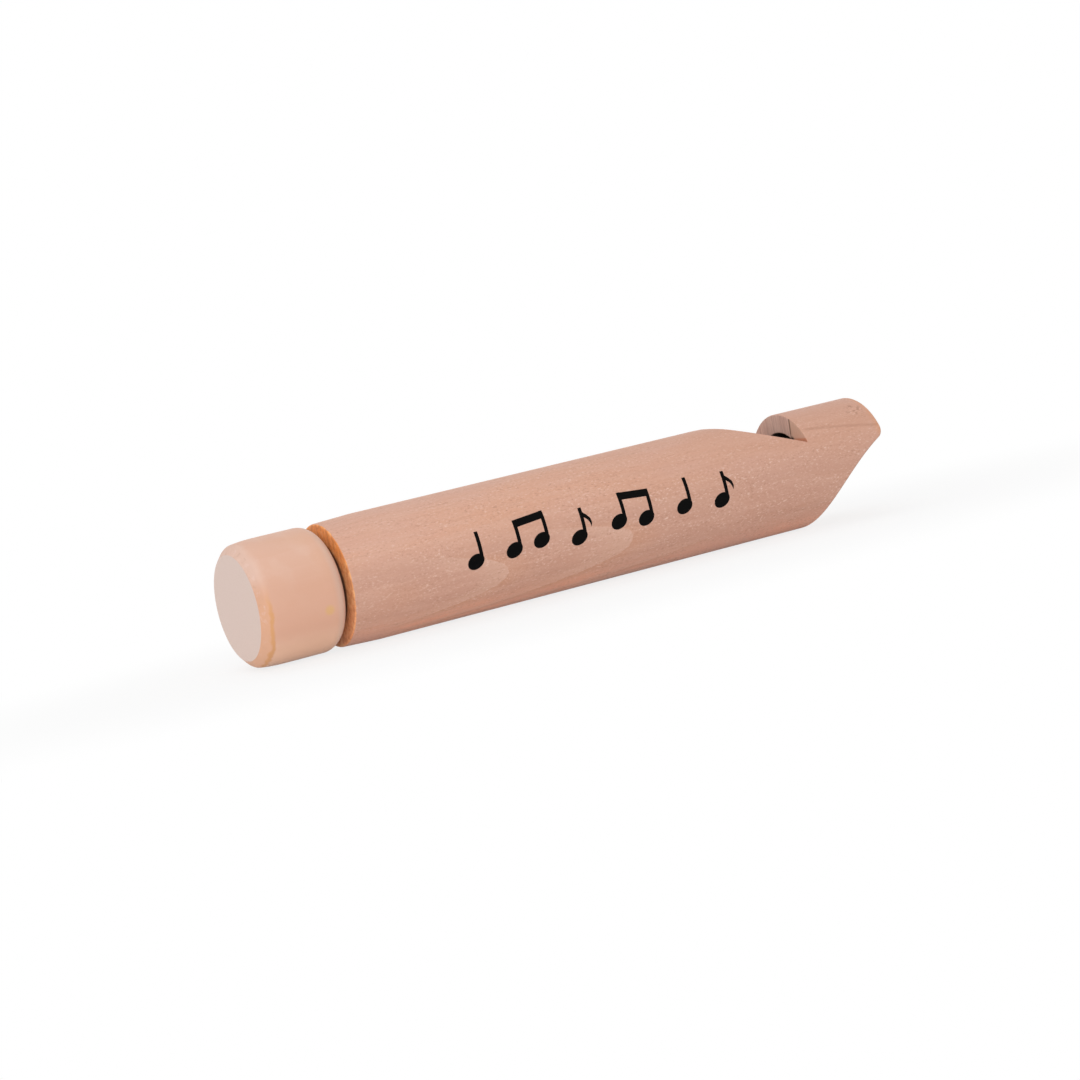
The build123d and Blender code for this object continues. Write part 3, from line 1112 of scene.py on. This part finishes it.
world = bpy.data.worlds.new("white_room")
scene.world = world
world.use_nodes = True
world.node_tree.nodes.clear()
room_steps = Steps(world.node_tree)
soft = room_steps.node("Background", Color=plain_white, Strength=room_light)
white = room_steps.node("Background", Color=plain_white, Strength=1.0)
room = mix_shaders(room_steps, seen_directly(room_steps), soft, white)
room_steps.node("OutputWorld", Surface=room)
print("room light", room_light)

# %% [markdown]
# ## The table's paint
#
# The whistle lies on a white table. Near it the table is part plain paint, which takes the soft shadow, and
# part white glow. Further off the glow takes over, so the table melts into the white room with no edge,
# where a curved backdrop would need more modelling. The distance is taken on an oval, longer along the tube.

# %% Table paint
paint_white = (0.9, 0.9, 0.9)
near_glow = 0.80
glow_from = 0.020
glow_full = 0.055
along_share = 0.35

table_paint = bpy.data.materials.new("table_paint")
table_paint.use_nodes = True
table_paint.node_tree.nodes.clear()
paint_steps = Steps(table_paint.node_tree)
oval = paint_steps.stretch(paint_steps.node("TexCoord").outputs["Object"], (along_share, 1, 1))
off_middle = paint_steps.distance(oval, (0, 0, 0))
glow_share = paint_steps.rise(off_middle, glow_from, glow_full, least=near_glow, most=1.0)
paint = paint_steps.node("BsdfDiffuse", Color=paint_white)
glow = paint_steps.node("Emission", Color=plain_white, Strength=1.0)
seen_glow = paint_steps.every(seen_directly(paint_steps), glow_share)
painted = mix_shaders(paint_steps, seen_glow, paint, glow)
paint_steps.node("OutputMaterial", Surface=painted)
print("table glows fully from", glow_full, "m")

# %% [markdown]
# ## The table
#
# The table is part of the stage and not of the whistle. It only has to reach past
# the picture, and one plain square does that.

# %% Table
table_size = 3.0

half = table_size / 2
table_mesh = bpy.data.meshes.new("table")
table_mesh.from_pydata(
    [(-half, -half, 0), (half, -half, 0), (half, half, 0), (-half, half, 0)], [], [(0, 1, 2, 3)]
)
table_mesh.materials.append(table_paint)
table = bpy.data.objects.new("table", table_mesh)
scene.collection.objects.link(table)
print("table", table_size, "m wide")

# %% [markdown]
# ## Lamps
#
# Three lamps shape the wood: a key from the upper left, a low front lamp that fills the near side, and one
# from above and behind for the top edge. Small lamps would draw hard edges, so these are wide, and give the
# photograph's soft shading. Each is turned to face the whistle.

# %% Lamps
lamps = {
    "key": {"at": (-0.38, -0.52, 0.46), "size": 0.50, "watts": 0.6},
    "front": {"at": (-0.33, -0.63, 0.10), "size": 0.30, "watts": 1.7},
    "top": {"at": (-0.05, 0.20, 0.75), "size": 0.60, "watts": 1.3},
}
for name, lamp in lamps.items():
    light = bpy.data.lights.new(name, "AREA")
    light.size = lamp["size"]
    light.energy = lamp["watts"]
    holder = bpy.data.objects.new(name, light)
    scene.collection.objects.link(holder)
    holder.location = lamp["at"]
    aim = Vector((0, 0, axis_z * mm)) - holder.location
    holder.rotation_euler = aim.to_track_quat("-Z", "Y").to_euler()
print("lamps:", ", ".join(lamps))

# %% [markdown] ## Finish

# %% Finish
print("whistle dressed")
